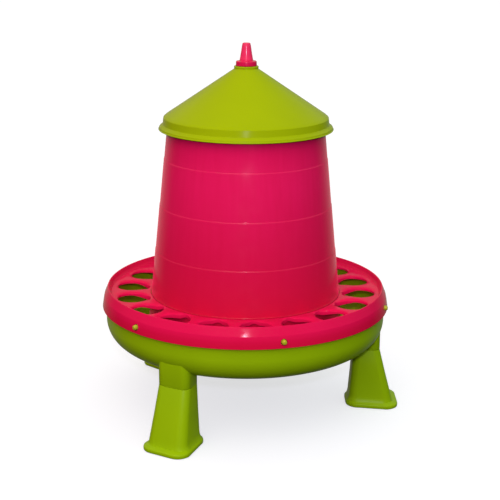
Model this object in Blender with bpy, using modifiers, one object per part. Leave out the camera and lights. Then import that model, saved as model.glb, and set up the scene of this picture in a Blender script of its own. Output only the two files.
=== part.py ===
"""Gravity poultry feeder on three push-on legs, with a grille ring against feed waste.

The frame is in metres. +Z is up and the origin is on the floor, on the feeder's axis.
Angles are in degrees round the axis, from the front (-Y) towards +X.
"""
import math

import bmesh
import bpy
from mathutils import Matrix, Vector

# ---- driving dimensions (metres) ----
SEGMENTS = 60          # facets round every large turned piece
GAP = 0.0003           # rest gap between pieces that touch
WALL = 0.0022          # moulded wall of hopper, lid and ring

TRAY_RADIUS = 0.1852   # outside of the bowl under the ring
TRAY_WALL = 0.0028
TRAY_BOTTOM = 0.0918
TRAY_FLOOR = TRAY_BOTTOM + 0.0030
TRAY_TURN = 0.1273     # height where the straight wall starts to curve in
TRAY_RIM = 0.1550
TRAY_FLAT = 0.1164     # radius of the flat bottom

RING_FOOT = (0.1900, 0.1434)    # lower outer edge of the ring: radius, height
RING_CREST = (0.1825, 0.1697)
RING_BORE = 0.1264
RING_LIP = 0.1594
OPENINGS = 18
OPENING_PHASE = 5.0
OPENING_CENTRE = 0.15025
OPENING_HALF_LENGTH = 0.02175
OPENING_HALF_WIDTH = 0.0190

PEGS = 6
PEG_PHASE = 14.4
PEG_HEIGHT = 0.1510
PEG_ROOT = 0.1812      # radius where each peg's stem ends inside the bowl's wall
PEG_TIP = 0.1928
PEG_STEM = 0.0026      # radius of a stem
PEG_HEAD = 0.0036
PEG_HOLE = 0.0042
PEG_TWIST = 8.0        # turn that frees the ring
SLOT_SLACK = 1.0       # slot length beyond the peg's centre at each end, in degrees
SLOT_HALF_HEIGHT = 0.0032
SLOT_MOUTH = 0.0066    # width of the way in from the rim

HOPPER_TOP = 0.3936
HOPPER_FOOT = TRAY_FLOOR + 0.0008
HOPPER_REFERENCE = (0.1048, 0.3517)
HOPPER_TAPER = 0.0937
HOPPER_STEPS = (0.3400, 0.2795, 0.2195)
HOPPER_STEP = 0.00075
OUTLETS = 3            # through cuts, each making two outlets
OUTLET_WIDTH = 0.089
OUTLET_TOP = 0.1150
OUTLET_BASE = 0.0800   # below the hopper, so that each cut is open at its foot
BAYONETS = 3
FOOT_REACH = (0.1294, 0.1365)
FOOT_HALF_WIDTH = 0.0100
FOOT_THICKNESS = 0.0040
HOOK_POST = (0.1376, 0.1412)
HOOK_ARM = (0.1336, 0.1390)
HOOK_UNDER = 0.1002    # underside of a hook's arm
HOOK_TOP = 0.1030
HOOK_HALF_WIDTH = 0.0085
HOOK_STOP = -0.0132
HOOK_STOP_WIDTH = 0.0026
HOOK_SUNK = 0.0015     # how far each hook's root reaches into the tray's floor

CONE_TOP = 0.1500
CONE_FOOT = TRAY_FLOOR + 0.0005
CONE_BORE = 0.0036
BOLT_STEM = 0.0030
BOLT_HEAD = 0.0062
BOLT_END = 0.0834
TRAY_BORE = 0.0035
WASHER_RADIUS = 0.0090
WASHER_THICKNESS = 0.0015
NUT_HEIGHT = 0.0050
NUT_BORE = 0.0034
NUT_CORNERS = 0.0060

LID_RIM = (0.1130, 0.3775)
LID_SHOULDER = (0.1035, 0.3951)
LID_NECK = (0.0159, 0.4578)
LID_BORE = 0.0086

KNOB_TOP = 0.4870
KNOB_COLLAR = 0.0135
KNOB_SHANK = 0.0080
KNOB_EARS = (0.0124, 0.0019, 0.4452, 0.4488)    # reach, half width, bottom and top
KEYHOLE = (0.0131, 0.0024)

LEG_ANGLES = (-30.0, 90.0, 219.0)
LEG_TOP = 0.0810
TENON = 0.0240         # length of the tray's tenon inside each leg
LEG_WALL = 0.0025
TENON_PLAY = 0.0004
SOCKET_TOP = 0.1120    # above the bowl's skin, where the sockets are trimmed
# sections across a leg: inner radius, outer radius, half widths inside and outside, corner
LEG_TOP_SECTION = (0.1460, 0.1817, 0.0200, 0.0222, 0.0100)
LEG_MIDDLE = (0.1443, 0.1904, 0.0211, 0.0248, 0.0115)
LEG_ANKLE = (0.1417, 0.1992, 0.0222, 0.0275, 0.0130)
LEG_LIP = (0.1378, 0.2080, 0.0268, 0.0326, 0.0170)

LIME = (0.36, 0.50, 0.015)
PINK = (0.78, 0.012, 0.085)
STEEL = (0.62, 0.62, 0.60)


# ---- scene ----
def clear_scene():
    for thing in list(bpy.data.objects):
        bpy.data.objects.remove(thing, do_unlink=True)


def new_collection(name):
    made = bpy.data.collections.new(name)
    bpy.context.scene.collection.children.link(made)
    return made


def plastic(name, colour, roughness=0.3, metallic=0.0):
    made = bpy.data.materials.new(name)
    made.use_nodes = True
    shader = made.node_tree.nodes["Principled BSDF"]
    shader.inputs["Base Color"].default_value = (*colour, 1.0)
    shader.inputs["Roughness"].default_value = roughness
    shader.inputs["Metallic"].default_value = metallic
    made.diffuse_color = (*colour, 1.0)
    return made


def add_object(name, mesh, collection, material=None):
    made = bpy.data.objects.new(name, mesh)
    collection.objects.link(made)
    if material:
        made.data.materials.append(material)
    return made


def bmesh_object(name, build, collection, material=None):
    mesh = bpy.data.meshes.new(name)
    work = bmesh.new()
    build(work)
    bmesh.ops.recalc_face_normals(work, faces=work.faces)
    work.to_mesh(mesh)
    work.free()
    return add_object(name, mesh, collection, material)


def turned(name, profile, collection, material=None, closed=True, steps=SEGMENTS):
    """A turned piece: the profile runs down its outer side and back up its inner side."""
    mesh = bpy.data.meshes.new(name)
    edges = [(i, i + 1) for i in range(len(profile) - 1)]
    if closed:
        edges.append((len(profile) - 1, 0))
    mesh.from_pydata([(r, 0.0, z) for r, z in profile], edges, [])
    made = add_object(name, mesh, collection, material)
    screw = made.modifiers.new("turn", "SCREW")
    screw.steps = screw.render_steps = steps
    screw.use_merge_vertices = True
    screw.merge_threshold = 0.00001
    return made


def boolean(target, tool, operation):
    step = target.modifiers.new(tool.name, "BOOLEAN")
    step.operation = operation
    step.solver = "EXACT"
    step.object = tool
    return step


def as_cutter(tool):
    tool.hide_render = True
    tool.display_type = "WIRE"
    return tool


def settle(piece, sharp=35.0):
    """Bake the modifiers into the mesh and shade it smooth."""
    graph = bpy.context.evaluated_depsgraph_get()
    graph.update()
    mesh = bpy.data.meshes.new_from_object(piece.evaluated_get(graph))
    piece.modifiers.clear()
    piece.data = mesh
    mesh.shade_smooth()
    mesh.set_sharp_from_angle(angle=math.radians(sharp))


def direction(angle):
    """Unit vector at an angle from the front (-Y) towards +X."""
    turn = math.radians(angle)
    return Vector((math.sin(turn), -math.cos(turn), 0.0))


def facing(angle):
    """Rotation that takes local +X outwards at the given angle."""
    return Matrix.Rotation(math.radians(angle - 90.0), 4, "Z")


def box(work, low, high, turn=0.0):
    """A box between two corners, in a frame whose +X points outwards at an angle."""
    size = [b - a for a, b in zip(low, high)]
    middle = [(a + b) / 2 for a, b in zip(low, high)]
    place = facing(turn) @ Matrix.Translation(middle) @ Matrix.Diagonal((*size, 1.0))
    bmesh.ops.create_cube(work, size=1.0, matrix=place)


def loft(work, sections):
    """One closed skin through sections of equal point count, capped at both ends."""
    rows = [[work.verts.new(point) for point in section] for section in sections]
    count = len(rows[0])
    for lower, upper in zip(rows, rows[1:]):
        for i in range(count):
            j = (i + 1) % count
            work.faces.new((lower[i], lower[j], upper[j], upper[i]))
    return rows


def arc(centre, radius, start, end, steps):
    """Points of an arc in the radius-height plane, angles in degrees from +X."""
    points = []
    for i in range(steps + 1):
        turn = math.radians(start + (end - start) * i / steps)
        points.append((centre[0] + radius * math.cos(turn), centre[1] + radius * math.sin(turn)))
    return points


# ---- tray ----
def bowl_curve(radius, flat, top, bottom, steps=9):
    """The bowl's side from its straight wall down to its flat bottom."""
    points = []
    for i in range(steps + 1):
        turn = math.radians(90.0 * i / steps)
        points.append((flat + (radius - flat) * math.sqrt(max(math.cos(turn), 0.0)),
                       top - (top - bottom) * math.sin(turn)))
    return points


def tray_profile():
    inner_radius = TRAY_RADIUS - TRAY_WALL
    outer = [(TRAY_RADIUS, TRAY_RIM)] + bowl_curve(TRAY_RADIUS, TRAY_FLAT, TRAY_TURN, TRAY_BOTTOM)
    inner = bowl_curve(inner_radius, TRAY_FLAT - 0.0010, TRAY_TURN + 0.0010, TRAY_FLOOR)
    return (outer + [(TRAY_BORE, TRAY_BOTTOM), (TRAY_BORE, TRAY_FLOOR)] + inner[::-1]
            + [(inner_radius, TRAY_RIM)])


def leg_section(z, inner, outer, half_inner, half_outer, corner, inset=0.0, steps=4):
    """A rounded wedge across a leg: +X is outwards, the broad side is the outer one."""
    inner, outer = inner + inset, outer - inset
    half_inner, half_outer = half_inner - inset, half_outer - inset
    corner = max(corner - inset, 0.002)
    centres = (((outer - corner), (half_outer - corner), 0.0), ((inner + corner), (half_inner - corner), 90.0),
               ((inner + corner), -(half_inner - corner), 180.0), ((outer - corner), -(half_outer - corner), 270.0))
    points = []
    for x, y, start in centres:
        for px, py in arc((x, y), corner, start, start + 90.0, steps):
            points.append(Vector((px, py, z)))
    return points


def stub(work, angle):
    """A leg socket under the bowl: a shoulder flush with the leg and a tenon inside it."""
    fit = LEG_WALL + TENON_PLAY
    hollow = fit + LEG_WALL
    sections = [
        leg_section(SOCKET_TOP - 0.0040, *LEG_TOP_SECTION, inset=hollow),
        leg_section(LEG_TOP - TENON, *LEG_TOP_SECTION, inset=hollow),
        leg_section(LEG_TOP - TENON, *LEG_TOP_SECTION, inset=fit),
        leg_section(LEG_TOP + GAP, *LEG_TOP_SECTION, inset=fit),
        leg_section(LEG_TOP + GAP, *LEG_TOP_SECTION),
        leg_section(SOCKET_TOP, *LEG_TOP_SECTION),
    ]
    place = facing(angle)
    rows = loft(work, [[place @ point for point in section] for section in sections])
    work.faces.new(rows[0])
    work.faces.new(rows[-1])


def bowl_inside(collection):
    """The space over the bowl's outer skin, which trims the sockets to the bowl."""
    depth = 0.0012
    radius, bottom = TRAY_RADIUS - depth, TRAY_BOTTOM + depth
    skin = bowl_curve(radius, TRAY_FLAT - 0.0005, TRAY_TURN, bottom)
    profile = [(0.0, HOPPER_STEPS[-1]), (radius, HOPPER_STEPS[-1])] + skin + [(0.0, bottom)]
    return as_cutter(turned("bowl_inside", profile, collection, closed=False))


def hook(work, angle):
    """A bayonet hook that holds one foot of the hopper down, with a stop at one end."""
    root = TRAY_FLOOR - HOOK_SUNK
    wall_top = (HOOK_UNDER + HOOK_TOP) / 2
    box(work, (HOOK_POST[0], HOOK_STOP, root), (HOOK_POST[1], HOOK_HALF_WIDTH, HOOK_TOP), angle)
    box(work, (HOOK_ARM[0], HOOK_STOP, HOOK_UNDER), (HOOK_ARM[1], HOOK_HALF_WIDTH, HOOK_TOP), angle)
    box(work, (HOOK_ARM[0], HOOK_STOP, root), (HOOK_ARM[1], HOOK_STOP + HOOK_STOP_WIDTH, wall_top), angle)


def peg_slots(work):
    """Six slots in the rim: the pegs drop in at one end and turn to the other."""
    for k in range(PEGS):
        angle = PEG_PHASE + 360.0 * k / PEGS
        reach = TRAY_RADIUS * math.radians(PEG_TWIST + 2.0 * SLOT_SLACK)
        inside, outside = TRAY_RADIUS - 2.6 * TRAY_WALL, TRAY_RADIUS + 1.7 * TRAY_WALL
        box(work, (inside, 0.0, PEG_HEIGHT - SLOT_HALF_HEIGHT), (outside, reach, PEG_HEIGHT + SLOT_HALF_HEIGHT),
            angle - SLOT_SLACK)
        box(work, (inside - GAP, -SLOT_MOUTH / 2, PEG_HEIGHT), (outside + GAP, SLOT_MOUTH / 2, TRAY_RIM + TRAY_WALL),
            angle + PEG_TWIST)


def make_tray(parts, cutters, material):
    tray = turned("tray", tray_profile(), parts, material)
    bowl = bowl_inside(cutters)
    for k, angle in enumerate(LEG_ANGLES):
        socket = bmesh_object(f"socket_{k + 1}", lambda work, a=angle: stub(work, a), cutters)
        boolean(as_cutter(socket), bowl, "DIFFERENCE")
        boolean(tray, socket, "UNION")
    for k in range(BAYONETS):
        angle = 360.0 * k / BAYONETS
        post = as_cutter(bmesh_object(f"hook_{k + 1}", lambda work, a=angle: hook(work, a), cutters))
        boolean(tray, post, "UNION").use_self = True
    slots = as_cutter(bmesh_object("peg_slots", peg_slots, cutters))
    boolean(tray, slots, "DIFFERENCE").use_self = True
    settle(tray)
    return tray


# ---- feed cone and its bolt ----
def make_cone(parts, material):
    profile = [(CONE_BORE, CONE_TOP), (0.0160, CONE_TOP), (0.0200, CONE_TOP - 0.0020), (0.1000, 0.0990),
               (0.1080, 0.0980), (0.1080, CONE_FOOT), (0.1050, CONE_FOOT), (0.0985, 0.0965),
               (0.0190, CONE_TOP - 0.0048), (0.0150, CONE_TOP - 0.0028), (0.0080, CONE_TOP - 0.0028),
               (0.0080, CONE_FOOT), (CONE_BORE, CONE_FOOT)]
    cone = turned("feed_cone", profile, parts, material, steps=48)
    settle(cone)


def hexagon(work, top):
    place = Matrix.Translation((0.0, 0.0, top - NUT_HEIGHT / 2))
    bmesh.ops.create_cone(work, cap_ends=True, segments=6, radius1=NUT_CORNERS, radius2=NUT_CORNERS,
                          depth=NUT_HEIGHT * 1.2, matrix=place)


def make_fixings(parts, cutters, material):
    head = CONE_TOP + GAP
    bolt = [(0.0, head + 0.0042), (0.0030, head + 0.0038), (0.0055, head + 0.0024), (BOLT_HEAD, head),
            (BOLT_STEM, head), (BOLT_STEM, BOLT_END + 0.0008), (BOLT_STEM - 0.0008, BOLT_END), (0.0, BOLT_END)]
    settle(turned("cone_bolt", bolt, parts, material, closed=False, steps=20))
    top = TRAY_BOTTOM - GAP
    lower = top - WASHER_THICKNESS
    washer = [(WASHER_RADIUS, top), (WASHER_RADIUS, lower), (NUT_BORE, lower), (NUT_BORE, top)]
    settle(turned("cone_washer", washer, parts, material, steps=20))
    under = lower - GAP
    blank = NUT_CORNERS + 0.0010
    body = [(blank, under), (blank, under - NUT_HEIGHT), (NUT_BORE, under - NUT_HEIGHT), (NUT_BORE, under)]
    nut = turned("cone_nut", body, parts, material, steps=24)
    boolean(nut, as_cutter(bmesh_object("hexagon", lambda work: hexagon(work, under), cutters)), "INTERSECT")
    settle(nut)


# ---- hopper ----
def hopper_radius(z):
    passed = sum(1 for step in HOPPER_STEPS if z < step)
    return HOPPER_REFERENCE[0] + (HOPPER_REFERENCE[1] - z) * HOPPER_TAPER + passed * HOPPER_STEP


def hopper_profile():
    bead = 0.0010
    outer = [(hopper_radius(HOPPER_TOP) + bead, HOPPER_TOP), (hopper_radius(HOPPER_TOP) + bead, HOPPER_TOP - 0.0035),
             (hopper_radius(HOPPER_TOP - 0.0045), HOPPER_TOP - 0.0045)]
    inner = [(hopper_radius(HOPPER_TOP) - WALL, HOPPER_TOP)]
    for step in HOPPER_STEPS:
        outer.append((hopper_radius(step), step))
        outer.append((hopper_radius(step - 0.0006), step - 0.0006))
        inner.append((hopper_radius(step) - WALL, step - 0.0006))
    outer.append((hopper_radius(HOPPER_FOOT), HOPPER_FOOT))
    inner.append((hopper_radius(HOPPER_FOOT) - WALL, HOPPER_FOOT))
    return outer + inner[::-1]


def outlet(work, angle):
    half = OUTLET_WIDTH / 2
    box(work, (-RING_FOOT[0], -half, OUTLET_BASE), (RING_FOOT[0], half, OUTLET_TOP), angle)


def foot(work, angle):
    """A foot that turns under one of the tray's hooks."""
    low = (FOOT_REACH[0], -FOOT_HALF_WIDTH, HOPPER_FOOT)
    box(work, low, (FOOT_REACH[1], FOOT_HALF_WIDTH, HOPPER_FOOT + FOOT_THICKNESS), angle)


def make_hopper(parts, cutters, material):
    hopper = turned("hopper", hopper_profile(), parts, material)
    for k in range(OUTLETS):
        angle = 30.0 + 60.0 * k
        cut = as_cutter(bmesh_object(f"outlet_{k + 1}", lambda work, a=angle: outlet(work, a), cutters))
        boolean(hopper, cut, "DIFFERENCE")
    for k in range(BAYONETS):
        angle = 360.0 * k / BAYONETS
        lug = as_cutter(bmesh_object(f"foot_{k + 1}", lambda work, a=angle: foot(work, a), cutters))
        boolean(hopper, lug, "UNION")
    settle(hopper)


# ---- ring ----
def ring_profile():
    crest, foot_edge = RING_CREST, RING_FOOT
    skirt = [crest, (0.1868, 0.1600), (0.1884, 0.1530), foot_edge, (foot_edge[0] - WALL - 0.0002, foot_edge[1])]
    under = [(0.1864, 0.1530), (0.1850, 0.1600), (0.1822, 0.1668), (0.1786, 0.1600), (0.1745, 0.1578),
             (0.1540, 0.1578), (0.1340, 0.1574), (RING_BORE + 0.0006, 0.1570)]
    bore = [(RING_BORE, RING_LIP - 0.0004), (RING_BORE + 0.0004, RING_LIP)]
    top = [(0.1290, RING_LIP), (0.1345, 0.1604), (0.1540, 0.1607), (0.1745, 0.1607), (0.1775, 0.1622),
           (0.1809, 0.1692)]
    return skirt + under + bore + top


def opening_outline(u):
    """Egg-shaped outline: u runs from 0 to 1, the narrow end is the inner one."""
    turn = 2.0 * math.pi * u
    along, across = math.cos(turn), math.sin(turn)
    x = OPENING_CENTRE + OPENING_HALF_LENGTH * along
    y = OPENING_HALF_WIDTH * across * (1.0 + 0.12 * along - 0.22 * min(along, 0.0) ** 2)
    return x, y


def openings(work, points=16):
    for k in range(OPENINGS):
        place = facing(OPENING_PHASE + 360.0 * k / OPENINGS)
        outline = [opening_outline(i / points) for i in range(points)]
        sections = [[place @ Vector((x, y, z)) for x, y in outline] for z in (0.150, 0.172)]
        rows = loft(work, sections)
        work.faces.new(rows[0])
        work.faces.new(rows[-1])


def peg_holes(work):
    for k in range(PEGS):
        centre = RING_FOOT[0] - WALL
        place = facing(PEG_PHASE + 360.0 * k / PEGS) @ Matrix.Translation((centre, 0.0, PEG_HEIGHT))
        place = place @ Matrix.Rotation(math.radians(90.0), 4, "Y")
        bmesh.ops.create_cone(work, cap_ends=True, segments=12, radius1=PEG_HOLE, radius2=PEG_HOLE,
                              depth=4.0 * WALL, matrix=place)


def make_ring(parts, cutters, material):
    ring = turned("anti_waste_ring", ring_profile(), parts, material)
    for name, build in (("openings", openings), ("peg_holes", peg_holes)):
        boolean(ring, as_cutter(bmesh_object(name, build, cutters)), "DIFFERENCE")
    settle(ring)


def make_pegs(parts, material):
    """Ring pegs: a stem in the tray's slot and a domed head in the ring's hole."""
    length = PEG_TIP - PEG_ROOT
    shoulder = TRAY_RADIUS - PEG_ROOT + 2.0 * GAP
    profile = [(0.0, length), (0.0020, length - 0.0004), (0.0033, length - 0.0016), (PEG_HEAD, length - 0.0030),
               (PEG_HEAD, shoulder + GAP), (PEG_STEM, shoulder), (PEG_STEM, 0.0), (0.0, 0.0)]
    for k in range(PEGS):
        peg = turned(f"ring_peg_{k + 1}", profile, parts, material, closed=False, steps=12)
        settle(peg)
        angle = PEG_PHASE + 360.0 * k / PEGS
        place = facing(angle) @ Matrix.Translation((PEG_ROOT, 0.0, PEG_HEIGHT))
        peg.matrix_world = place @ Matrix.Rotation(math.radians(90.0), 4, "Y")


# ---- lid and knob ----
def lid_profile():
    neck, shoulder, rim = LID_NECK, LID_SHOULDER, LID_RIM
    drop = 0.0027      # height of the wall measured straight down through the cone
    slope = (neck[1] - 0.0035 - shoulder[1]) / (neck[0] - shoulder[0])
    inner_neck = 0.0175
    outer = [(neck[0] - 0.0008, neck[1]), (neck[0], neck[1] - 0.0008), (neck[0], neck[1] - 0.0035), shoulder,
             (0.1061, 0.3927), (0.1077, 0.3838), (0.1096, 0.3820), (0.1126, 0.3801), rim,
             (rim[0] - 0.0022, rim[1])]
    inner = [(rim[0] - 0.0024, 0.3786), (0.1080, 0.3800), (0.1058, 0.3824), (0.1040, 0.3920),
             (0.1022, 0.3940), (inner_neck, shoulder[1] + slope * (inner_neck - shoulder[0]) - drop),
             (inner_neck - 0.0015, 0.4496), (LID_BORE, 0.4496), (LID_BORE, neck[1])]
    return outer + inner


def keyhole(work):
    """Slots that let the knob's ears through the neck, across the ears' locked line."""
    reach, half = KEYHOLE
    box(work, (-reach, -half, KNOB_EARS[2]), (reach, half, LID_NECK[1] + GAP), 0.0)


def make_lid(parts, cutters, material):
    lid = turned("lid", lid_profile(), parts, material)
    boolean(lid, as_cutter(bmesh_object("keyhole", keyhole, cutters)), "DIFFERENCE")
    settle(lid)


def knob_ears(work):
    reach, half, bottom, top = KNOB_EARS
    box(work, (-reach, -half, bottom), (reach, half, top), 90.0)


def make_knob(parts, cutters, material):
    seat = LID_NECK[1] + GAP
    profile = [(0.0, KNOB_TOP), (0.0026, KNOB_TOP - 0.0003), (0.0041, KNOB_TOP - 0.0013),
               (0.0050, KNOB_TOP - 0.0032), (0.0072, 0.4738), (0.0086, 0.4648), (0.0094, seat + 0.0064),
               (0.0128, seat + 0.0062), (KNOB_COLLAR - 0.0002, seat + 0.0054), (KNOB_COLLAR, seat),
               (KNOB_SHANK, seat), (KNOB_SHANK, KNOB_EARS[2]), (0.0, KNOB_EARS[2])]
    knob = turned("lid_knob", profile, parts, material, closed=False, steps=24)
    boolean(knob, as_cutter(bmesh_object("knob_ears", knob_ears, cutters)), "UNION")
    settle(knob)


# ---- legs ----
def leg_skin(work):
    """A hollow tapered leg, open at both ends, with a flared lip at the floor."""
    sections = [
        leg_section(LEG_TOP, *LEG_TOP_SECTION),
        leg_section(0.0460, *LEG_MIDDLE),
        leg_section(0.0120, *LEG_ANKLE),
        leg_section(0.0088, *LEG_ANKLE, inset=-0.0016),
        leg_section(0.0066, *LEG_LIP),
        leg_section(0.0016, *LEG_LIP),
        leg_section(0.0, *LEG_LIP, inset=0.0012),
        leg_section(0.0, *LEG_LIP, inset=0.0062),
        leg_section(0.0120, *LEG_ANKLE, inset=LEG_WALL),
        leg_section(0.0460, *LEG_MIDDLE, inset=LEG_WALL),
        leg_section(LEG_TOP, *LEG_TOP_SECTION, inset=LEG_WALL),
    ]
    rows = loft(work, sections)
    first, last = rows[0], rows[-1]
    for i in range(len(first)):
        j = (i + 1) % len(first)
        work.faces.new((last[i], last[j], first[j], first[i]))


def make_legs(parts, material):
    for k, angle in enumerate(LEG_ANGLES):
        axis = bpy.data.objects.new(f"leg_axis_{k + 1}", None)
        parts.objects.link(axis)
        axis.rotation_euler[2] = math.radians(angle - 90.0)
        leg = bmesh_object(f"leg_{k + 1}", leg_skin, parts, material)
        leg.parent = axis
        settle(leg)


def main():
    clear_scene()
    parts = new_collection("poultry_feeder")
    cutters = new_collection("cutters")
    lime = plastic("lime_plastic", LIME, 0.34)
    pink = plastic("pink_plastic", PINK, 0.26)
    steel = plastic("zinc_steel", STEEL, 0.35, 1.0)
    make_tray(parts, cutters, lime)
    make_cone(parts, lime)
    make_fixings(parts, cutters, steel)
    make_hopper(parts, cutters, pink)
    make_ring(parts, cutters, pink)
    make_pegs(parts, lime)
    make_lid(parts, cutters, lime)
    make_knob(parts, cutters, pink)
    make_legs(parts, lime)


main()
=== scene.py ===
"""The looks of a gravity poultry feeder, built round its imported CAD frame.

The frame is in metres. +Z is up and the origin is on the floor, on the feeder's axis.
Angles are in degrees round the axis, from the front (-Y) towards +X.
An outline's corner is (radius, height, fillet).
"""
import math

import bmesh
import bpy
from mathutils import Matrix, Vector


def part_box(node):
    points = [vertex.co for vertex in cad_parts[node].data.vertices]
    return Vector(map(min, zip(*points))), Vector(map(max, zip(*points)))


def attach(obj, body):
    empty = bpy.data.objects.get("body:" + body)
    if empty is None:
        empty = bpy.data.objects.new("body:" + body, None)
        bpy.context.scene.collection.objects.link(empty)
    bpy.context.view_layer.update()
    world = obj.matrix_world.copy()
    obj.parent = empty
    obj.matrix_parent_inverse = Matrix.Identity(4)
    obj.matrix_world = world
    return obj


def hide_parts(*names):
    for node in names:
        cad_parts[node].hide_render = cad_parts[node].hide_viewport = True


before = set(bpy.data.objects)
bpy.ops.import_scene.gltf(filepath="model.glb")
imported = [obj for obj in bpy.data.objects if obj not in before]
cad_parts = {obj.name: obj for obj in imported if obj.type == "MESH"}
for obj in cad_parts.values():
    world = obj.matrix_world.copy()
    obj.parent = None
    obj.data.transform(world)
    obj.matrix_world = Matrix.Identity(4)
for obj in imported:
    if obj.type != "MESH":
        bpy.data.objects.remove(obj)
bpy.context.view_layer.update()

X, Y, Z = range(3)


def lowest(name, axis):
    """Lowest coordinate of a CAD node, to the micrometre."""
    return round(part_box(name)[0][axis], 6)


def highest(name, axis):
    """Highest coordinate of a CAD node, to the micrometre."""
    return round(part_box(name)[1][axis], 6)


# ---- driving dimensions (metres), from the frame where a node's box gives them ----
AROUND = 216                # facets round every large turned piece
GAP = 0.0003                # between pieces that rest on one another
BAYONETS = 3

TRAY_RADIUS = highest("tray", X)
TRAY_RIM = highest("tray", Z)
TRAY_WALL = 0.0028
TRAY_BOTTOM = 0.0918
TRAY_FLOOR = TRAY_BOTTOM + 0.0030
TRAY_TURN = 0.1273          # height where the straight wall turns into the bowl
TRAY_FLAT = 0.1164          # radius of the flat bottom
TRAY_BORE = 0.0035
RIM_ROUND = 0.0006

PEGS = 6
PEG_PHASE = 14.4
PEG_HEIGHT = (lowest("ring_peg_1", Z) + highest("ring_peg_1", Z)) / 2
PEG_ROOT = 0.1812           # radii where a peg begins and ends
PEG_TIP = 0.1928
PEG_STEM = 0.0026
PEG_HEAD = 0.0033           # a little smaller than the CAD's
PEG_HOLE = 0.0041           # in the ring, round the head
PEG_TWIST = 8.0             # degrees that the ring turns
SLOT_SLACK = 1.0            # degrees past each end of that turn
SLOT_HEIGHT = 0.0064
SLOT_RADIUS = 0.1840        # middle of the cut through the tray's wall
SLOT_CUT = 0.0120

HOPPER_TOP = highest("hopper", Z)
HOPPER_FOOT = lowest("hopper", Z)
HOPPER_WALL = 0.0022
HOPPER_START = (0.1048, 0.3517)         # a radius of its outer side and the height it is met at
HOPPER_TAPER = 0.0987       # a little more than the CAD's, because the steps are finer
HOPPER_STEPS = (0.3400, 0.2795, 0.2195)
HOPPER_STEP = 0.00045
HOPPER_LEDGE = 0.0012       # height over which a step goes out
HOPPER_BEAD = ((0.1609, 0.0), (0.1603, 0.0004), (0.1598, 0.0))      # heights, and how far each is proud
OUTLETS = 6
OUTLET_WIDTH = 0.0890
OUTLET_TOP = 0.1150

CONE_TOP = highest("feed_cone", Z)
CONE_FOOT = lowest("feed_cone", Z)
CONE_RADIUS = highest("feed_cone", X)
CONE_BORE = 0.0036
CONE_STEM = 0.0080

RING_RADIUS = highest("anti_waste_ring", X)
RING_CREST = highest("anti_waste_ring", Z)
RING_FOOT = lowest("anti_waste_ring", Z)
RING_WALL = 0.0019
OPENINGS = 18
OPENING_PHASE = 5.0
OPENING_CENTRE = 0.15025
OPENING_HALF_LENGTH = 0.02175
OPENING_HALF_WIDTH = 0.0192
GRILLE_INNER = 0.1276
GRILLE_OUTER = 0.1778
GRILLE_HEIGHT = 0.1608
GRILLE_LIP = 0.1594
EDGE_POINTS = 48            # points round each opening, a multiple of 8
LOOPS = (0.0, 0.02, 0.07, 0.16, 0.30, 0.50, 0.75, 1.0)      # from an opening's edge to its sector's
WEB_FALL = 0.0026           # height that a wide web loses at its edge
WEB_WIDE = 0.0075           # half width from which a web is a wide one
WEB_ROUND = 0.0072          # how far in from its edge a web is rounded
HEM = 0.0016                # an opening's edge goes this far down
HEM_INNER = 0.0026          # and this much more on its inner side
WELD = 0.00002

LID_RADIUS = highest("lid", X)
LID_FOOT = lowest("lid", Z)
LID_BORE = 0.0086
LID_NECK = (0.0159, highest("lid", Z))
LID_SHOULDER = (0.1035, 0.3951)
LID_DROP = 0.0027           # from its cone down to the inner side

KNOB_TOP = highest("lid_knob", Z)
KNOB_FOOT = lowest("lid_knob", Z)
KNOB_COLLAR = highest("lid_knob", X)
KNOB_SHANK = 0.0080

LEG_ANGLES = (-30.0, 90.0, 219.0)
LEG_TOP = highest("leg_2", Z)
LEG_WALL = 0.0025
TENON = 0.0240
TENON_WALL = 0.0025
TENON_PLAY = 0.0004
# A leg's sections in its own frame, which is leg_2's: inner and outer face, half widths there,
# corner radius.
LEG_TOP_SECTION = (0.1460, 0.1817, 0.0200, 0.0222, 0.0100)
LEG_MIDDLE_SECTION = (0.1443, 0.1904, 0.0211, 0.0248, 0.0115)
LEG_ANKLE_SECTION = (0.1417, 0.1992, 0.0222, 0.0275, 0.0130)
LEG_LIP_SECTION = (lowest("leg_2", X), highest("leg_2", X), 0.0268, highest("leg_2", Y), 0.0170)

# ---- light ----
SHADE = 0.01                # world strength below the horizon
CEILING = 0.84              # overhead
BACKDROP = 0.42             # behind the feeder
SOFTBOX = 1.80              # added round the direction below
TOWARD_SOFTBOX = (-0.10, -0.68, 0.73)
WARM = (1.09, 0.91, 0.76)   # world tint on the left
COOL = (0.77, 0.91, 0.78)   # and on the right
FLASH_PLACE = (0.0, -1.55, 0.74)
FLASH_TARGET = (0.0, 0.0, 0.26)
FLASH_SIZE = 0.06
FLASH_POWER = 7.8
FLASH_COLOUR = (1.0, 1.0, 1.22)
STAGE_GLOW = (0.97, 0.97, 1.0, 1.0)
FLOOR_HALF = 30.0
FLOOR_DROP = 0.0002
DOME_RADIUS = 28.0

# ---- camera, at the photo's viewing angle ----
CAMERA_PLACE = (0.0, -1.5236, 0.6386)
CAMERA_PITCH = 15.592
CAMERA_ROLL = 0.297
SENSOR = 36.0               # millimetres, as is the lens
LENS = 85.716
SHIFT = (0.00922, 0.001)


# ---- geometry helpers ----
NEARLY_STRAIGHT = 178.0     # degrees; a corner as open as this gets no fillet
LARGEST_SHARE = 0.48        # of an outline's side that one fillet may take
SHARP = 32.0                # degrees between faces, above which an edge stays sharp


def around(count, first=0.0):
    """Angles of evenly spaced things, in order from the first."""
    return [first + 360.0 * k / count for k in range(count)]


def facing(angle):
    """Rotation that takes local +X outwards at the given angle."""
    return Matrix.Rotation(math.radians(angle - 90.0), 4, "Z")


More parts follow.
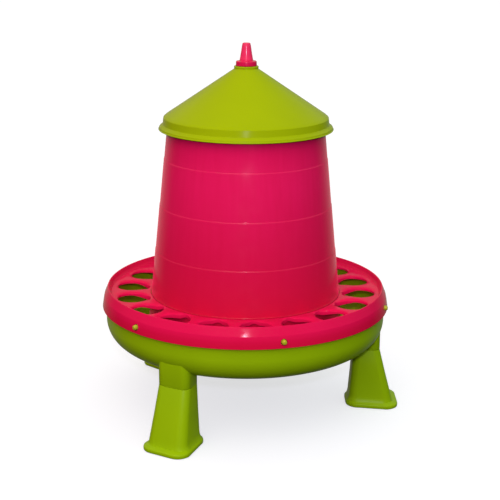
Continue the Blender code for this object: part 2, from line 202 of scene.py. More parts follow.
def rounded(corners, closed=True, step=12.0):
    """Corners are (radius, height, fillet); each fillet becomes a short arc of points."""
    points = []
    count = len(corners)
    for i, (x, y, fillet) in enumerate(corners):
        here = Vector((x, y))
        if fillet <= 0.0 or (not closed and i in (0, count - 1)):
            points.append((x, y))
            continue
        back = Vector(corners[i - 1][:2]) - here
        on = Vector(corners[(i + 1) % count][:2]) - here
        angle = back.angle(on)
        if angle > math.radians(NEARLY_STRAIGHT):
            points.append((x, y))
            continue
        room = LARGEST_SHARE * min(back.length, on.length)
        reach = min(fillet / math.tan(angle / 2), room)
        radius = reach * math.tan(angle / 2)
        back.normalize()
        on.normalize()
        centre = here + (back + on).normalized() * (radius / math.sin(angle / 2))
        first = here + back * reach - centre
        last = here + on * reach - centre
        sweep = first.angle_signed(last)
        steps = max(2, math.ceil(abs(math.degrees(sweep)) / step))
        for j in range(steps + 1):
            part = Matrix.Rotation(-sweep * j / steps, 2) @ first
            points.append(tuple(centre + part))
    return points


def new_object(name, mesh, material=None):
    made = bpy.data.objects.new(name, mesh)
    bpy.context.scene.collection.objects.link(made)
    if material:
        made.data.materials.append(material)
    return made


def smooth(piece, sharp=SHARP):
    piece.data.shade_smooth()
    piece.data.set_sharp_from_angle(angle=math.radians(sharp))
    return piece


def turned(name, profile, material, closed=True, steps=AROUND):
    """A turned piece: the profile runs down its outer side, and if closed back up its inner side."""
    mesh = bpy.data.meshes.new(name)
    edges = [(i, i + 1) for i in range(len(profile) - 1)]
    if closed:
        edges.append((len(profile) - 1, 0))
    mesh.from_pydata([(r, 0.0, z) for r, z in profile], edges, [])
    piece = new_object(name, mesh, material)
    screw = piece.modifiers.new("turn", "SCREW")
    screw.steps = screw.render_steps = steps
    screw.use_merge_vertices = True
    screw.merge_threshold = 0.00001
    bake(piece)
    return smooth(piece)


def bake(piece):
    """Replace the mesh with its modifiers' result."""
    graph = bpy.context.evaluated_depsgraph_get()
    graph.update()
    mesh = bpy.data.meshes.new_from_object(piece.evaluated_get(graph))
    piece.modifiers.clear()
    piece.data = mesh


def built(name, build, material, sharp=SHARP):
    """A piece from a function that fills a bmesh."""
    mesh = bpy.data.meshes.new(name)
    work = bmesh.new()
    build(work)
    bmesh.ops.recalc_face_normals(work, faces=work.faces)
    work.to_mesh(mesh)
    work.free()
    return smooth(new_object(name, mesh, material), sharp)


def cut(piece, build, sharp=SHARP):
    """Cut a shape out of a piece and remove the cutter."""
    cutter = built("cutter", build, None)
    step = piece.modifiers.new("cut", "BOOLEAN")
    step.operation = "DIFFERENCE"
    step.solver = "EXACT"
    step.object = cutter
    step.use_self = True
    bake(piece)
    bpy.data.objects.remove(cutter, do_unlink=True)
    smooth(piece, sharp)


def box(work, low, high, turn=0.0, bevel=0.0):
    """A box between two corners, in a frame whose +X points outwards at an angle."""
    size = [b - a for a, b in zip(low, high)]
    middle = [(a + b) / 2 for a, b in zip(low, high)]
    place = facing(turn) @ Matrix.Translation(middle) @ Matrix.Diagonal((*size, 1.0))
    made = bmesh.ops.create_cube(work, size=1.0, matrix=place)["verts"]
    if bevel:
        edges = list({edge for vert in made for edge in vert.link_edges})
        bmesh.ops.bevel(work, geom=edges, offset=bevel, segments=3, affect="EDGES", profile=0.5)


def bridge(work, rows):
    """Faces between closed rows of equal point count, each with the next."""
    for one, two in zip(rows, rows[1:]):
        for i in range(len(one)):
            j = (i + 1) % len(one)
            work.faces.new((one[i], one[j], two[j], two[i]))


def skin(work, sections):
    """An open skin over sections of equal point count, in order."""
    rows = [[work.verts.new(point) for point in section] for section in sections]
    bridge(work, rows)
    return rows


# ---- materials ----
PLASTIC_IOR = 1.49
SCUFFED = (-0.04, 0.07)     # range of roughness round a plastic's own
BLOOM_ROUGHNESS = 0.40
BLOOM_TINT = (1.0, 0.06, 0.16, 1.0)
FLOW, SCUFF, PEEL = 9.0, 60.0, 420.0    # noise scales per metre, from broad patches to orange peel
BUMP_DEPTH = 0.001          # metres, scaled by each bump's strength
DRAG_STRETCH = (160.0, 160.0, 2.2)      # fine round the piece, long down it
DRAG_SHARE = 0.6            # of the colour variation, the rest being the flow


def node(tree, kind, **settings):
    """A shader node, with each setting put on its socket or else on the node."""
    made = tree.nodes.new(kind)
    for key, value in settings.items():
        if key in made.inputs:
            made.inputs[key].default_value = value
        else:
            setattr(made, key, value)
    return made


def new_material(name):
    """A node material; returns it with its tree, its shader and its coordinates node."""
    made = bpy.data.materials.new(name)
    made.use_nodes = True
    tree = made.node_tree
    return made, tree, tree.nodes["Principled BSDF"], node(tree, "ShaderNodeTexCoord")


def noise_at(tree, coords, scale, detail=2.0, stretch=(1.0, 1.0, 1.0)):
    place = node(tree, "ShaderNodeMapping")
    place.inputs["Scale"].default_value = stretch
    tree.links.new(coords.outputs["Object"], place.inputs["Vector"])
    made = node(tree, "ShaderNodeTexNoise", Scale=scale, Detail=detail)
    tree.links.new(place.outputs["Vector"], made.inputs["Vector"])
    return made.outputs["Fac"]


def ranged(tree, source, low, high, start=0.3, end=0.7):
    """A value that goes from low to high as the source goes from start to end."""
    made = node(tree, "ShaderNodeMapRange")
    made.inputs["From Min"].default_value = start
    made.inputs["From Max"].default_value = end
    made.inputs["To Min"].default_value = low
    made.inputs["To Max"].default_value = high
    tree.links.new(source, made.inputs["Value"])
    return made.outputs["Result"]


def mixed(tree, factor, one, two):
    """A mix of two colours; the first may be another node's output."""
    made = node(tree, "ShaderNodeMix", data_type="RGBA")
    if isinstance(one, tuple):
        made.inputs["A"].default_value = (*one, 1.0)
    else:
        tree.links.new(one, made.inputs["A"])
    made.inputs["B"].default_value = (*two, 1.0)
    tree.links.new(factor, made.inputs["Factor"])
    return made.outputs["Result"]


def computed(tree, operation, one, two, third=None):
    """A Math node on outputs or numbers."""
    made = node(tree, "ShaderNodeMath", operation=operation)
    for inlet, value in zip(made.inputs, (one, two, third)):
        if isinstance(value, float):
            inlet.default_value = value
        elif value is not None:
            tree.links.new(value, inlet)
    return made.outputs[0]


def bumped(tree, height, strength, under=None):
    """A bump's normal, laid over another normal where one is given."""
    made = node(tree, "ShaderNodeBump", Strength=strength, Distance=BUMP_DEPTH)
    tree.links.new(height, made.inputs["Height"])
    if under:
        tree.links.new(under, made.inputs["Normal"])
    return made.outputs["Normal"]


def moulded_plastic(name, colour, deep, roughness, peel, streaks=0.0, specular=0.3, low=None,
                    painted_shade_heights=None, bloom=0.0):
    """Injection-moulded plastic: flow variation, orange peel, scuffs and faint drag marks.

    The colour drifts to deep in patches. Lower down it goes to low, a painted shade: fully low below the
    first of the two heights given with it, fading out by the second. bloom is the strength of the soft
    glow at grazing angles.
    """
    made, tree, shader, coords = new_material(name)
    shader.inputs["IOR"].default_value = PLASTIC_IOR
    shader.inputs["Specular IOR Level"].default_value = specular

    flow = noise_at(tree, coords, FLOW, 3.0)
    if streaks:
        drag = noise_at(tree, coords, 1.0, 4.0, stretch=DRAG_STRETCH)
        rest = computed(tree, "MULTIPLY", flow, 1.0 - DRAG_SHARE)
        flow = computed(tree, "MULTIPLY_ADD", drag, DRAG_SHARE, rest)
    paint = mixed(tree, ranged(tree, flow, 0.0, 1.0, start=0.35, end=0.75), colour, deep)
    # painted shade: lower down the piece the colour goes towards low
    if low:
        axes = node(tree, "ShaderNodeSeparateXYZ")
        tree.links.new(coords.outputs["Object"], axes.inputs["Vector"])
        paint = mixed(tree, ranged(tree, axes.outputs["Z"], 1.0, 0.0, *painted_shade_heights), paint, low)
    tree.links.new(paint, shader.inputs["Base Color"])
    if bloom:
        shader.inputs["Sheen Weight"].default_value = bloom
        shader.inputs["Sheen Roughness"].default_value = BLOOM_ROUGHNESS
        shader.inputs["Sheen Tint"].default_value = BLOOM_TINT

    scuff = noise_at(tree, coords, SCUFF, 6.0)
    gloss = ranged(tree, scuff, roughness + SCUFFED[0], roughness + SCUFFED[1])
    tree.links.new(gloss, shader.inputs["Roughness"])

    normal = bumped(tree, noise_at(tree, coords, PEEL), peel)
    if streaks:
        normal = bumped(tree, drag, streaks, normal)
    tree.links.new(normal, shader.inputs["Normal"])
    return made


def lime_plastic():
    return moulded_plastic("lime_plastic", (0.288, 0.440, 0.0020), (0.253, 0.396, 0.0020),
                           roughness=0.32, peel=0.03, specular=0.08)


def lime_lid_lit_plastic():
    # painted light: the tray's lime plastic made warmer and brighter, for the light on the lid's
    # upward-facing top
    return moulded_plastic("lime_lid_lit_plastic", (0.342, 0.425, 0.0018), (0.312, 0.397, 0.0018),
                           roughness=0.16, peel=0.04, specular=0.03)


def lime_peg_highlit_plastic():
    # painted highlight and painted pink reflection: the lid's lime made lighter and redder for the pegs,
    # which stand out into the light beside the pink ring
    return moulded_plastic("lime_peg_highlit_plastic", (0.420, 0.410, 0.0200), (0.380, 0.390, 0.0150),
                           roughness=0.20, peel=0.02)


def pink_plastic():
    # low is painted shade: the ring is darker below the crease of its skirt, which faces downwards
    return moulded_plastic("pink_plastic", (0.745, 0.0055, 0.078), (0.700, 0.0048, 0.068),
                           roughness=0.11, peel=0.012, specular=0.05,
                           low=(0.620, 0.0045, 0.045), painted_shade_heights=(0.147, 0.159))


def pink_knob_plastic():
    # low is painted shade: the knob is darker on its collar and below
    return moulded_plastic("pink_knob_plastic", (0.930, 0.0260, 0.135), (0.880, 0.0220, 0.115),
                           roughness=0.16, peel=0.012,
                           low=(0.700, 0.0080, 0.078), painted_shade_heights=(0.4642, 0.4672))


def pink_hopper_plastic():
    # low is painted shade with painted pink light reflected from the ring: the hopper darkens and reddens
    # down towards it
    return moulded_plastic("pink_hopper_plastic", (0.795, 0.0078, 0.108), (0.735, 0.0062, 0.088),
                           roughness=0.15, peel=0.012, streaks=0.03, specular=0.18,
                           low=(0.570, 0.0045, 0.038), painted_shade_heights=(0.16, 0.32), bloom=0.65)


def zinc_steel():
    """Zinc-plated steel with turning marks and dull patches."""
    made, tree, shader, coords = new_material("zinc_steel")
    shader.inputs["Metallic"].default_value = 1.0
    patch = noise_at(tree, coords, 240.0, 4.0)
    paint = mixed(tree, ranged(tree, patch, 0.0, 1.0), (0.66, 0.66, 0.63), (0.46, 0.46, 0.45))
    tree.links.new(paint, shader.inputs["Base Color"])
    tree.links.new(ranged(tree, patch, 0.26, 0.44), shader.inputs["Roughness"])
    rings = node(tree, "ShaderNodeTexWave", wave_type="RINGS", Scale=900.0, Distortion=0.4)
    tree.links.new(coords.outputs["Object"], rings.inputs["Vector"])
    tree.links.new(bumped(tree, rings.outputs["Fac"], 0.05), shader.inputs["Normal"])
    return made


def stage_paint(name, light, dark, glow):
    """Matt, faintly mottled, and bright enough in itself that shadows on it stay pale."""
    made, tree, shader, coords = new_material(name)
    shader.inputs["Roughness"].default_value = 0.9
    shader.inputs["Specular IOR Level"].default_value = 0.1
    shader.inputs["Emission Color"].default_value = STAGE_GLOW
    shader.inputs["Emission Strength"].default_value = glow
    tree.links.new(mixed(tree, noise_at(tree, coords, 3.0), light, dark), shader.inputs["Base Color"])
    return made


# ---- tray ----
def bowl_curve(radius, flat, top, bottom, steps=30):
    """The bowl's side from its straight wall down to its flat bottom."""
    points = []
    for i in range(steps + 1):
        turn = math.radians(90.0) * (i / steps)
        points.append((flat + (radius - flat) * math.sqrt(max(math.cos(turn), 0.0)),
                       top - (top - bottom) * math.sin(turn)))
    return points


def bowl_height(radius):
    """Height of the bowl's outer skin at a radius, on the same curve."""
    if radius <= TRAY_FLAT:
        return TRAY_BOTTOM
    share = min((radius - TRAY_FLAT) / (TRAY_RADIUS - TRAY_FLAT), 1.0)
    return TRAY_TURN - (TRAY_TURN - TRAY_BOTTOM) * math.sqrt(max(1.0 - share ** 4, 0.0))


def tray_profile():
    inner_radius = TRAY_RADIUS - TRAY_WALL
    sooner = 0.0010             # the inner bowl turns this much before the outer one
    outer = [(TRAY_RADIUS - RIM_ROUND, TRAY_RIM), (TRAY_RADIUS, TRAY_RIM - RIM_ROUND)]
    outer += bowl_curve(TRAY_RADIUS, TRAY_FLAT, TRAY_TURN, TRAY_BOTTOM)
    inner = bowl_curve(inner_radius, TRAY_FLAT - sooner, TRAY_TURN + sooner, TRAY_FLOOR)
    rim = [(inner_radius, TRAY_RIM - RIM_ROUND), (inner_radius + RIM_ROUND, TRAY_RIM)]
    return outer + [(TRAY_BORE, TRAY_BOTTOM), (TRAY_BORE, TRAY_FLOOR)] + inner[::-1] + rim


def peg_slots(work):
    """A slot for each peg to travel in, and at its end a way in from the rim, a hair larger."""
    hair = 0.0001
    travel = TRAY_RADIUS * math.radians(PEG_TWIST + 2.0 * SLOT_SLACK)
    slot = Matrix.Translation((SLOT_RADIUS, travel / 2, PEG_HEIGHT))
    slot = slot @ Matrix.Diagonal((SLOT_CUT, travel, SLOT_HEIGHT, 1.0))
    entry = Matrix.Translation((SLOT_RADIUS, 0.0, PEG_HEIGHT + SLOT_CUT / 2))
    entry = entry @ Matrix.Diagonal((SLOT_CUT + hair, SLOT_HEIGHT + 2.0 * hair, SLOT_CUT, 1.0))
    for angle in around(PEGS, PEG_PHASE):
        bmesh.ops.create_cube(work, size=1.0, matrix=facing(angle - SLOT_SLACK) @ slot)
        bmesh.ops.create_cube(work, size=1.0, matrix=facing(angle + PEG_TWIST) @ entry)


def leg_section(z, inner, outer, half_inner, half_outer, corner, inset=0.0, steps=9):
    """A rounded wedge across a leg: +X is outwards, the broad side is the outer one."""
    inner, outer = inner + inset, outer - inset
    half_inner, half_outer = half_inner - inset, half_outer - inset
    corner = max(corner - inset, 0.002)
    centres = ((outer - corner, half_outer - corner, 0.0),
               (inner + corner, half_inner - corner, 90.0),
               (inner + corner, corner - half_inner, 180.0),
               (outer - corner, corner - half_outer, 270.0))
    points = []
    for x, y, start in centres:
        for i in range(steps + 1):
            turn = math.radians(start + 90.0 * i / steps)
            points.append(Vector((x + corner * math.cos(turn), y + corner * math.sin(turn), z)))
    return points


def socket_top():
    """Where the socket's wall runs into the bowl, a little inside the bowl's skin."""
    sunk = 0.0012
    points = []
    for point in leg_section(0.0, *LEG_TOP_SECTION):
        points.append(Vector((point.x, point.y, bowl_height(math.hypot(point.x, point.y)) + sunk)))
    return points


def socket(work):
    """A leg socket under the bowl: a shoulder flush with the leg and a tenon inside it."""
    top = LEG_TOP_SECTION
    ceiling = 0.0960            # inside the tenon
    edge = 0.0006
    seam = LEG_TOP + GAP
    seam_edge, seam_knee = 0.0007, 0.0002
    foot = LEG_TOP - TENON
    fit = LEG_WALL + TENON_PLAY
    bore = fit + TENON_WALL
    sections = [
        leg_section(ceiling, *top, inset=bore),
        leg_section(foot + edge, *top, inset=bore),
        leg_section(foot, *top, inset=bore - edge),
        leg_section(foot, *top, inset=fit + edge),
        leg_section(foot + edge, *top, inset=fit),
        leg_section(seam, *top, inset=fit),
        leg_section(seam, *top, inset=seam_edge),
        leg_section(seam + seam_knee, *top, inset=seam_knee),
        leg_section(seam + seam_edge, *top),
        socket_top(),
    ]
    rows = skin(work, sections)
    work.faces.new(rows[0])
    work.faces.new(rows[-1])


def hook(work, angle):
    """A bayonet hook on the tray's floor: a wall, a flange over the hopper's foot, and a stop."""
    inner, face, lap, outer = 0.1336, 0.1376, 0.1390, 0.1412
    half, stop, stop_width = 0.0085, -0.0132, 0.0026
    root, under, top = TRAY_FLOOR - 0.0015, 0.1002, 0.1030
    bevel = 0.0004
    box(work, (face, stop, root), (outer, half, top), angle, bevel)
    box(work, (inner, stop, under), (lap, half, top), angle, bevel)
    box(work, (inner, stop, root), (lap, stop + stop_width, top - 0.0010), angle, bevel)


def make_tray(material):
    bowl = turned("tray_bowl", tray_profile(), material)
    cut(bowl, peg_slots)
    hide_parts("tray")
    pieces = [bowl]
    for k, angle in enumerate(LEG_ANGLES):
        leg_socket = built(f"leg_socket_{k + 1}", socket, material)
        leg_socket.matrix_world = facing(angle)
        pieces.append(leg_socket)
    for k, angle in enumerate(around(BAYONETS)):
        pieces.append(built(f"bayonet_hook_{k + 1}", lambda work, a=angle: hook(work, a), material))
    for piece in pieces:
        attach(piece, "tray")


def make_cone(material):
    head, skirt = 0.0180, 0.0990
    corners = [
        (CONE_BORE, CONE_TOP, 0.0), (head, CONE_TOP, 0.003),
        (0.1000, skirt, 0.003), (CONE_RADIUS, skirt - 0.0010, 0.0006),
        (CONE_RADIUS, CONE_FOOT, 0.0), (CONE_RADIUS - 0.0030, CONE_FOOT, 0.0),
        (0.0985, skirt - 0.0025, 0.001), (head + 0.0010, CONE_TOP - 0.0048, 0.002),
        (CONE_STEM, CONE_TOP - 0.0028, 0.001), (CONE_STEM, CONE_FOOT, 0.0),
        (CONE_BORE, CONE_FOOT, 0.0)]
    cone = turned("deflector_cone", rounded(corners), material, steps=144)
    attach(cone, "tray")
    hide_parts("feed_cone")


def finish_fixings(material):
    """The bolt, washer and nut keep their CAD shapes and take a finish."""
    for name in ("cone_bolt", "cone_washer", "cone_nut"):
        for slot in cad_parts[name].material_slots:
            slot.material = material


# ---- hopper ----
def hopper_radius(z):
    radius, height = HOPPER_START
    passed = sum(1 for step in HOPPER_STEPS if z < step)
    return radius + (height - z) * HOPPER_TAPER + passed * HOPPER_STEP


def hopper_profile():
    rim = hopper_radius(HOPPER_TOP) + 0.0010
    under_rim = HOPPER_TOP - 0.0045
    outer = [(rim, HOPPER_TOP, 0.0008), (rim, under_rim + 0.0010, 0.0006),
             (hopper_radius(under_rim), under_rim, 0.001)]
    inner = [(hopper_radius(HOPPER_TOP) - HOPPER_WALL, HOPPER_TOP, 0.0006)]
    for step in HOPPER_STEPS:
        outer.append((hopper_radius(step), step, 0.0006))
        outer.append((hopper_radius(step - HOPPER_LEDGE), step - HOPPER_LEDGE, 0.0004))
        inner.append((hopper_radius(step) - HOPPER_WALL, step - HOPPER_LEDGE / 2, 0.0))
    outer += [(hopper_radius(z) + proud, z, 0.0002) for z, proud in HOPPER_BEAD]
    outer.append((hopper_radius(HOPPER_FOOT), HOPPER_FOOT, 0.0005))
    inner.append((hopper_radius(HOPPER_FOOT) - HOPPER_WALL, HOPPER_FOOT, 0.0005))
    return rounded(outer + inner[::-1], step=20.0)


def outlets(work):
    """Bars right through the hopper's foot, each of which cuts two opposite outlets."""
    half, reach, below = OUTLET_WIDTH / 2, 0.2, 0.080
    for angle in around(OUTLETS, 180.0 / OUTLETS)[:OUTLETS // 2]:
        box(work, (-reach, -half, below), (reach, half, OUTLET_TOP), angle)


def hopper_foot(work, angle):
    inner, outer = 0.1294, -lowest("hopper", Y)
    half, thick, bevel = 0.0100, 0.0040, 0.0005
    box(work, (inner, -half, HOPPER_FOOT), (outer, half, HOPPER_FOOT + thick), angle, bevel)


def make_hopper(material):
    shell = turned("hopper_shell", hopper_profile(), material)
    cut(shell, outlets)
    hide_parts("hopper")
    pieces = [shell]
    for k, angle in enumerate(around(BAYONETS)):
        pieces.append(built(f"hopper_foot_{k + 1}", lambda work, a=angle: hopper_foot(work, a), material))
    for piece in pieces:
        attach(piece, "hopper")


# ---- ring ----
def opening_point(turn):
    """Egg-shaped outline in the opening's own frame; +X is outwards, the narrow end is the inner one."""
    along, across = math.cos(turn), math.sin(turn)
    width = OPENING_HALF_WIDTH * (1.0 + 0.12 * along - 0.22 * min(along, 0.0) ** 2)
    return Vector((OPENING_CENTRE + OPENING_HALF_LENGTH * along, width * across))


def sector_point(turn):
    """The matching point on the edge of the opening's sector of the ring, as radius and angle."""
    half = math.pi / OPENINGS
    middle = (GRILLE_INNER + GRILLE_OUTER) / 2
    reach = (GRILLE_OUTER - GRILLE_INNER) / 2
    along, across = math.cos(turn), math.sin(turn)
    scale = 1.0 / max(abs(along), abs(across))
    return middle + reach * along * scale, half * across * scale


def eased(value):
    value = min(max(value, 0.0), 1.0)
    return value * value * (3.0 - 2.0 * value)


def web_height(radius, away, gap):
    """Height of the grille: each web is a rounded bar, and it flattens where it meets the lip or rim.

    away is the distance from the opening's edge, and gap how far that edge is from the sector's.
    """
    share = (radius - GRILLE_INNER) / (GRILLE_OUTER - GRILLE_INNER)
    base = GRILLE_LIP + (GRILLE_HEIGHT - GRILLE_LIP) * eased(share / 0.25) + 0.0006 * share ** 4
    fall = WEB_FALL * min(gap / WEB_WIDE, 1.0)
    rise = min(away / WEB_ROUND, 1.0)
    return base + fall * (math.sqrt(1.0 - (1.0 - rise) ** 2) - 1.0)


def grille_sector(work, angle):
    """One opening with the half webs round it; returns its outer border points."""
    place = facing(angle)
    turns = [2.0 * math.pi * i / EDGE_POINTS for i in range(EDGE_POINTS)]
    rows = []
    for loop in LOOPS:
        row = []
        for turn in turns:
            edge = opening_point(turn)
            radius, swing = sector_point(turn)
            border = Vector((radius * math.cos(swing), radius * math.sin(swing)))
            flat = edge.lerp(border, loop)
            height = web_height(flat.length, (flat - edge).length, (border - edge).length)
            row.append(work.verts.new(place @ Vector((flat.x, flat.y, height))))
        rows.append(row)
    hem = []
    for turn, vert in zip(turns, rows[0]):
        inner = eased((0.1 - math.cos(turn)) / 0.8)
        hem.append(work.verts.new(vert.co - Vector((0.0, 0.0, HEM + HEM_INNER * inner))))
    bridge(work, [hem] + rows)
    return rows[-1]


def on_arc(verts, radius):
    """Border points at a radius, in order round the ring."""
    found = [vert for vert in verts if abs(math.hypot(vert.co.x, vert.co.y) - radius) < 1.5 * WELD]
    return sorted(found, key=lambda vert: math.atan2(vert.co.y, vert.co.x))


def sweep_rows(work, start, profile):
    """Carry a closed row of points along a profile of radius and height."""
    turns = [math.atan2(vert.co.y, vert.co.x) for vert in start]
    rows = [start]
    for radius, z in profile:
        rows.append([work.verts.new((radius * math.cos(turn), radius * math.sin(turn), z))
                     for turn in turns])
    bridge(work, rows)


def skirt_profile(start):
    """From the grille's outer border up to the crest and down the outer skirt."""
    corners = [
        (*start, 0.0), (0.1796, 0.1640, 0.003), (0.1812, RING_CREST - 0.0007, 0.001),
        (0.1825, RING_CREST, 0.0008), (0.1836, 0.1671, 0.002), (0.1873, 0.1585, 0.0008),
        (0.1885, 0.1530, 0.004), (RING_RADIUS, RING_FOOT, 0.0)]
    return rounded(corners, closed=False, step=10.0)[1:]


def bore_profile(start):
    """From the grille's inner border in to the bore and down it."""
    corners = [(*start, 0.0), (0.1258, GRILLE_LIP, 0.0006), (0.1264, 0.1560, 0.0)]
    return rounded(corners, closed=False, step=15.0)[1:]


def ring_skin(work):
    borders = []
    for angle in around(OPENINGS, OPENING_PHASE):
        borders += grille_sector(work, angle)
    bmesh.ops.remove_doubles(work, verts=borders, dist=WELD)
    borders = [vert for vert in borders if vert.is_valid]
    outer = on_arc(borders, GRILLE_OUTER)
    inner = on_arc(borders, GRILLE_INNER)
    sweep_rows(work, outer, skirt_profile((GRILLE_OUTER, outer[0].co.z)))
    sweep_rows(work, inner, bore_profile((GRILLE_INNER, inner[0].co.z)))


def peg_place(angle, radius):
    """Puts local +Z outwards along a peg, from a radius."""
    place = facing(angle) @ Matrix.Translation((radius, 0.0, PEG_HEIGHT))
    return place @ Matrix.Rotation(math.radians(90.0), 4, "Y")


def peg_holes(work):
    middle, depth = 0.1880, 0.0100
    for angle in around(PEGS, PEG_PHASE):
        bmesh.ops.create_cone(work, cap_ends=True, segments=32, radius1=PEG_HOLE, radius2=PEG_HOLE,
                              depth=depth, matrix=peg_place(angle, middle))


def make_peg(k, angle, material):
    """A push peg: stem in the tray's slot, domed head in the ring's hole."""
    length = PEG_TIP - PEG_ROOT
    neck = 0.0046               # where the stem meets the head
    corners = [
        (0.0, length, 0.0), (PEG_STEM, length - 0.0003, 0.0015), (PEG_HEAD, length - 0.0034, 0.001),
        (PEG_HEAD, neck + 0.0003, 0.0003), (PEG_STEM, neck, 0.0003), (PEG_STEM, 0.0, 0.0004),
        (0.0, 0.0, 0.0)]
    peg = turned(f"push_peg_{k + 1}", rounded(corners, closed=False), material, closed=False, steps=40)
    peg.matrix_world = peg_place(angle, PEG_ROOT)
    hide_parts(f"ring_peg_{k + 1}")
    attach(peg, "ring")


def make_ring(material, peg_material):
    ring = built("ring_grille", ring_skin, material)
    shell = ring.modifiers.new("wall", "SOLIDIFY")
    shell.thickness = RING_WALL
    shell.offset = -1.0
    bake(ring)
    cut(ring, peg_holes, sharp=42.0)
    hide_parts("anti_waste_ring")
    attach(ring, "ring")
    for k, angle in enumerate(around(PEGS, PEG_PHASE)):
        make_peg(k, angle, peg_material)


# ---- lid and knob ----
def lid_profile():
    (neck, top), (shoulder, eave) = LID_NECK, LID_SHOULDER
    slope = (top - 0.0035 - eave) / (neck - 0.0006 - shoulder)
    inner_neck = 0.0175
    ceiling = 0.4496            # inside the neck
    corners = [
        # the neck and the cone
        (LID_BORE, top - 0.0003, 0.0), (neck - 0.0006, top, 0.0006), (neck, top - 0.0012, 0.0005),
        (neck - 0.0006, top - 0.0034, 0.0010), (shoulder, eave, 0.0022),
        # the flange and its rolled edge
        (0.1064, 0.3926, 0.0010), (0.1075, 0.3842, 0.0006), (0.1094, 0.3824, 0.0010),
        (0.1117, 0.3806, 0.0006), (0.1121, 0.3790, 0.0004), (LID_RADIUS, 0.3779, 0.0003),
        (0.1129, LID_FOOT, 0.0002), (0.1109, LID_FOOT, 0.0006), (0.1103, 0.3788, 0.0008),
        # back up the inner side
        (0.1080, 0.3801, 0.0008), (0.1058, 0.3824, 0.0008), (0.1040, 0.3922, 0.0010),
        (0.1022, 0.3940, 0.0010),
        (inner_neck, eave + slope * (inner_neck - shoulder) - LID_DROP, 0.001),
        (inner_neck - 0.0015, ceiling, 0.0), (LID_BORE, ceiling, 0.0)]
    return rounded(corners)


def keyhole(work):
    """The cut that lets the knob's ears through the lid's neck at a quarter turn."""
    long, half = 0.0131, 0.0024
    box(work, (-long, -half, KNOB_FOOT - 0.0052), (long, half, LID_NECK[1] + 0.002))


def make_lid(material):
    lid = turned("lid_shell", lid_profile(), material)
    cut(lid, keyhole, sharp=40.0)
    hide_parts("lid")
    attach(lid, "lid")


def knob_ears(work):
    long, half, thick, bevel = 0.0124, 0.0019, 0.0036, 0.0004
    box(work, (-long, -half, KNOB_FOOT), (long, half, KNOB_FOOT + thick), 90.0, bevel)


def make_knob(material):
    seat = LID_NECK[1] + GAP
    corners = [
        (0.0, KNOB_TOP, 0.0), (0.0049, KNOB_TOP - 0.0003, 0.0013), (0.0058, KNOB_TOP - 0.0045, 0.003),
        (0.0071, 0.4740, 0.01), (0.0088, seat + 0.0060, 0.0008), (0.0132, seat + 0.0058, 0.0009),
        (KNOB_COLLAR, seat, 0.0004), (KNOB_SHANK, seat, 0.0), (KNOB_SHANK, KNOB_FOOT, 0.0005),
        (0.0, KNOB_FOOT, 0.0)]
    knob = turned("knob_body", rounded(corners, closed=False), material, closed=False, steps=72)
    ears = built("knob_ears", knob_ears, material)
    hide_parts("lid_knob")
    for piece in (knob, ears):
        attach(piece, "knob")


# ---- legs ----
def leg_skin(work):
    """A hollow tapered leg, open at both ends, with a flared lip at the floor."""
    top, middle, ankle, lip = LEG_TOP_SECTION, LEG_MIDDLE_SECTION, LEG_ANKLE_SECTION, LEG_LIP_SECTION
    knee = 0.0460
    edge = 0.0006
    sections = [
        # down the outer side
        leg_section(LEG_TOP - edge, *top),
        leg_section(knee, *middle),
        leg_section(0.0150, *ankle, inset=0.0003),
        leg_section(0.0115, *ankle, inset=-0.0003),
        leg_section(0.0078, *ankle, inset=-0.0016),
        # round the lip
        leg_section(0.0060, *lip, inset=0.0014),
        leg_section(0.0053, *lip, inset=0.0004),
        leg_section(0.0043, *lip),
        leg_section(0.0016, *lip),
        leg_section(0.0006, *lip, inset=0.0004),
        leg_section(0.0, *lip, inset=0.0014),
        leg_section(0.0, *lip, inset=0.0060),
        leg_section(0.0006, *lip, inset=0.0066),
        # up the inner side and over the top edge
        leg_section(0.0120, *ankle, inset=LEG_WALL),
        leg_section(knee, *middle, inset=LEG_WALL),
        leg_section(LEG_TOP - edge, *top, inset=LEG_WALL),
        leg_section(LEG_TOP, *top, inset=LEG_WALL - 0.0005),
        leg_section(LEG_TOP, *top, inset=edge),
        leg_section(LEG_TOP - 0.0002, *top, inset=0.0002),
    ]
    rows = skin(work, sections)
    bridge(work, [rows[-1], rows[0]])


def make_legs(material):
    for k, angle in enumerate(LEG_ANGLES):
        leg = built(f"leg_tube_{k + 1}", leg_skin, material, sharp=40.0)
        leg.data.transform(facing(angle))
        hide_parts(f"leg_{k + 1}")
        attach(leg, f"leg_{k + 1}")


# ---- stage, lights, camera ----
def floor_grid(work):
    bmesh.ops.create_grid(work, x_segments=8, y_segments=8, size=FLOOR_HALF)


def dome(work):
    bmesh.ops.create_uvsphere(work, u_segments=96, v_segments=48, radius=DOME_RADIUS)


def make_stage():
    """The floor, and a pale dome far round it; neither lights the feeder or shows in its gloss."""
    floor_paint = stage_paint("pale_floor", (0.42, 0.42, 0.47), (0.41, 0.41, 0.46), 0.64)
    wall_paint = stage_paint("pale_backdrop", (0.30, 0.30, 0.36), (0.28, 0.28, 0.34), 0.98)
    floor = built("floor", floor_grid, floor_paint)
    floor.location.z = -FLOOR_DROP
    backdrop = built("backdrop", dome, wall_paint)
    backdrop.visible_shadow = False
    for piece in (floor, backdrop):
        piece.visible_diffuse = False
        piece.visible_glossy = False


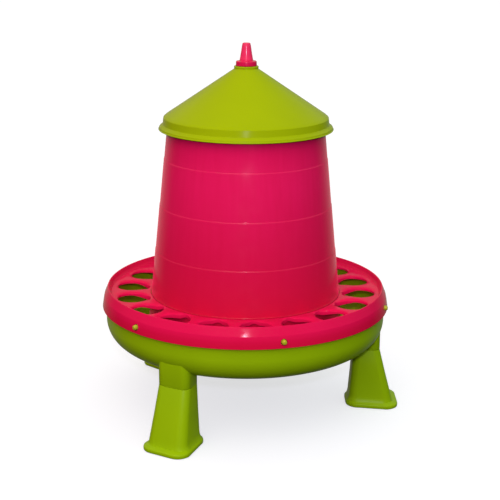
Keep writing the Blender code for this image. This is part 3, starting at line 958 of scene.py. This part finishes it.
def make_world():
    """Soft light from above and in front, some from behind, and next to none below the horizon."""
    world = bpy.data.worlds.new("studio")
    bpy.context.scene.world = world
    world.use_nodes = True
    tree = world.node_tree
    background = tree.nodes["Background"]
    coords = node(tree, "ShaderNodeTexCoord")
    axes = node(tree, "ShaderNodeSeparateXYZ")
    tree.links.new(coords.outputs["Generated"], axes.inputs["Vector"])
    toward = node(tree, "ShaderNodeVectorMath", operation="DOT_PRODUCT")
    toward.inputs[1].default_value = TOWARD_SOFTBOX
    tree.links.new(coords.outputs["Generated"], toward.inputs[0])
    above = ranged(tree, axes.outputs["Z"], SHADE, CEILING, start=-0.02, end=0.42)
    behind = ranged(tree, axes.outputs["Y"], 0.0, BACKDROP, start=0.45, end=0.90)
    softbox = ranged(tree, toward.outputs["Value"], 0.0, SOFTBOX, start=0.80, end=0.98)
    total = computed(tree, "ADD", computed(tree, "MAXIMUM", above, behind), softbox)
    side = ranged(tree, axes.outputs["X"], 0.0, 1.0, start=-0.7, end=0.7)
    tree.links.new(mixed(tree, side, WARM, COOL), background.inputs["Color"])
    tree.links.new(total, background.inputs["Strength"])


def make_flash():
    """The small hard light of the photo's flash, just above the camera."""
    data = bpy.data.lights.new("flash", "AREA")
    data.shape = "DISK"
    data.size = FLASH_SIZE
    data.energy = FLASH_POWER
    data.color = FLASH_COLOUR
    light = bpy.data.objects.new("flash", data)
    bpy.context.scene.collection.objects.link(light)
    light.location = FLASH_PLACE
    aim = Vector(FLASH_TARGET) - Vector(FLASH_PLACE)
    light.rotation_euler = aim.to_track_quat("-Z", "Y").to_euler()


def make_camera():
    data = bpy.data.cameras.new("camera")
    data.sensor_width = SENSOR
    data.lens = LENS
    data.shift_x, data.shift_y = SHIFT
    camera = bpy.data.objects.new("camera", data)
    bpy.context.scene.collection.objects.link(camera)
    pitch = Matrix.Rotation(math.radians(90.0 - CAMERA_PITCH), 4, "X")
    roll = Matrix.Rotation(math.radians(CAMERA_ROLL), 4, "Z")
    camera.matrix_world = Matrix.Translation(CAMERA_PLACE) @ pitch @ roll
    bpy.context.scene.camera = camera


def main():
    bpy.context.scene.view_settings.view_transform = "Standard"
    lime = lime_plastic()
    make_tray(lime)
    make_cone(lime)
    finish_fixings(zinc_steel())
    make_hopper(pink_hopper_plastic())
    make_ring(pink_plastic(), lime_peg_highlit_plastic())
    make_lid(lime_lid_lit_plastic())
    make_knob(pink_knob_plastic())
    make_legs(lime)
    make_stage()
    make_world()
    make_flash()
    make_camera()


main()
